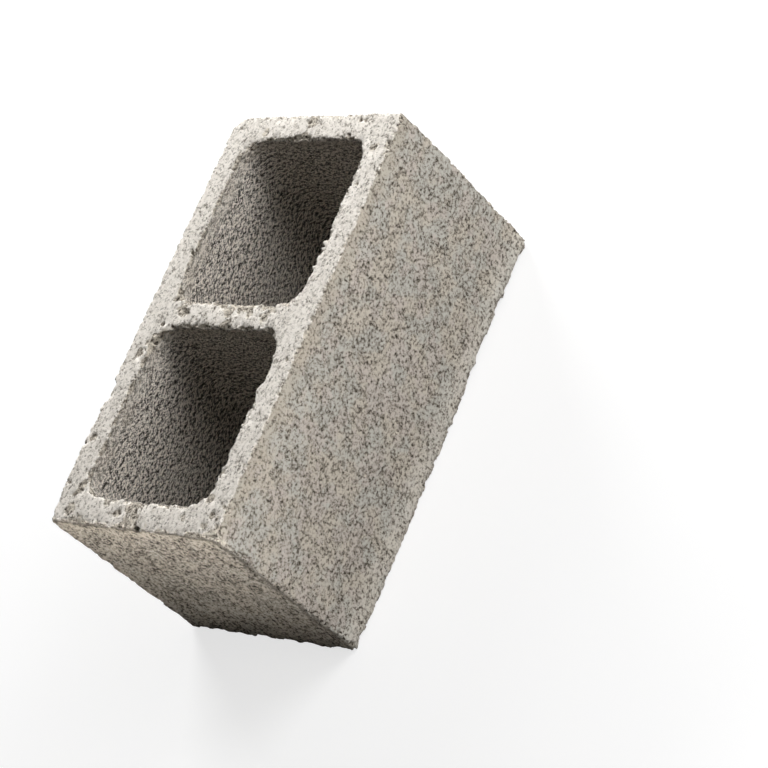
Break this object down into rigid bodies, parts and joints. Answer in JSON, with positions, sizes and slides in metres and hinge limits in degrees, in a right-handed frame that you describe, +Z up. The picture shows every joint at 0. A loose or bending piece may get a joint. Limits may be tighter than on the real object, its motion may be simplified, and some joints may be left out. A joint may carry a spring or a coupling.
{
  "type": "concrete block",
  "caption": "Hollow concrete block with plain ends, drafted round-cornered cores right through it and a core bar mark across its webs.",
  "frame": {"origin": "middle of the underside, on the floor that the block stands on", "axes": "+X along the block's length, +Y across it, +Z up along the cores, towards the side with the core bar mark"},
  "size_m": [0.397, 0.194, 0.194],
  "materials": {
    "concrete": "matt, open-textured grey concrete"
  },
  "bodies": {
    "root": {"concrete_block": "concrete"}
  },
  "joints": []
}
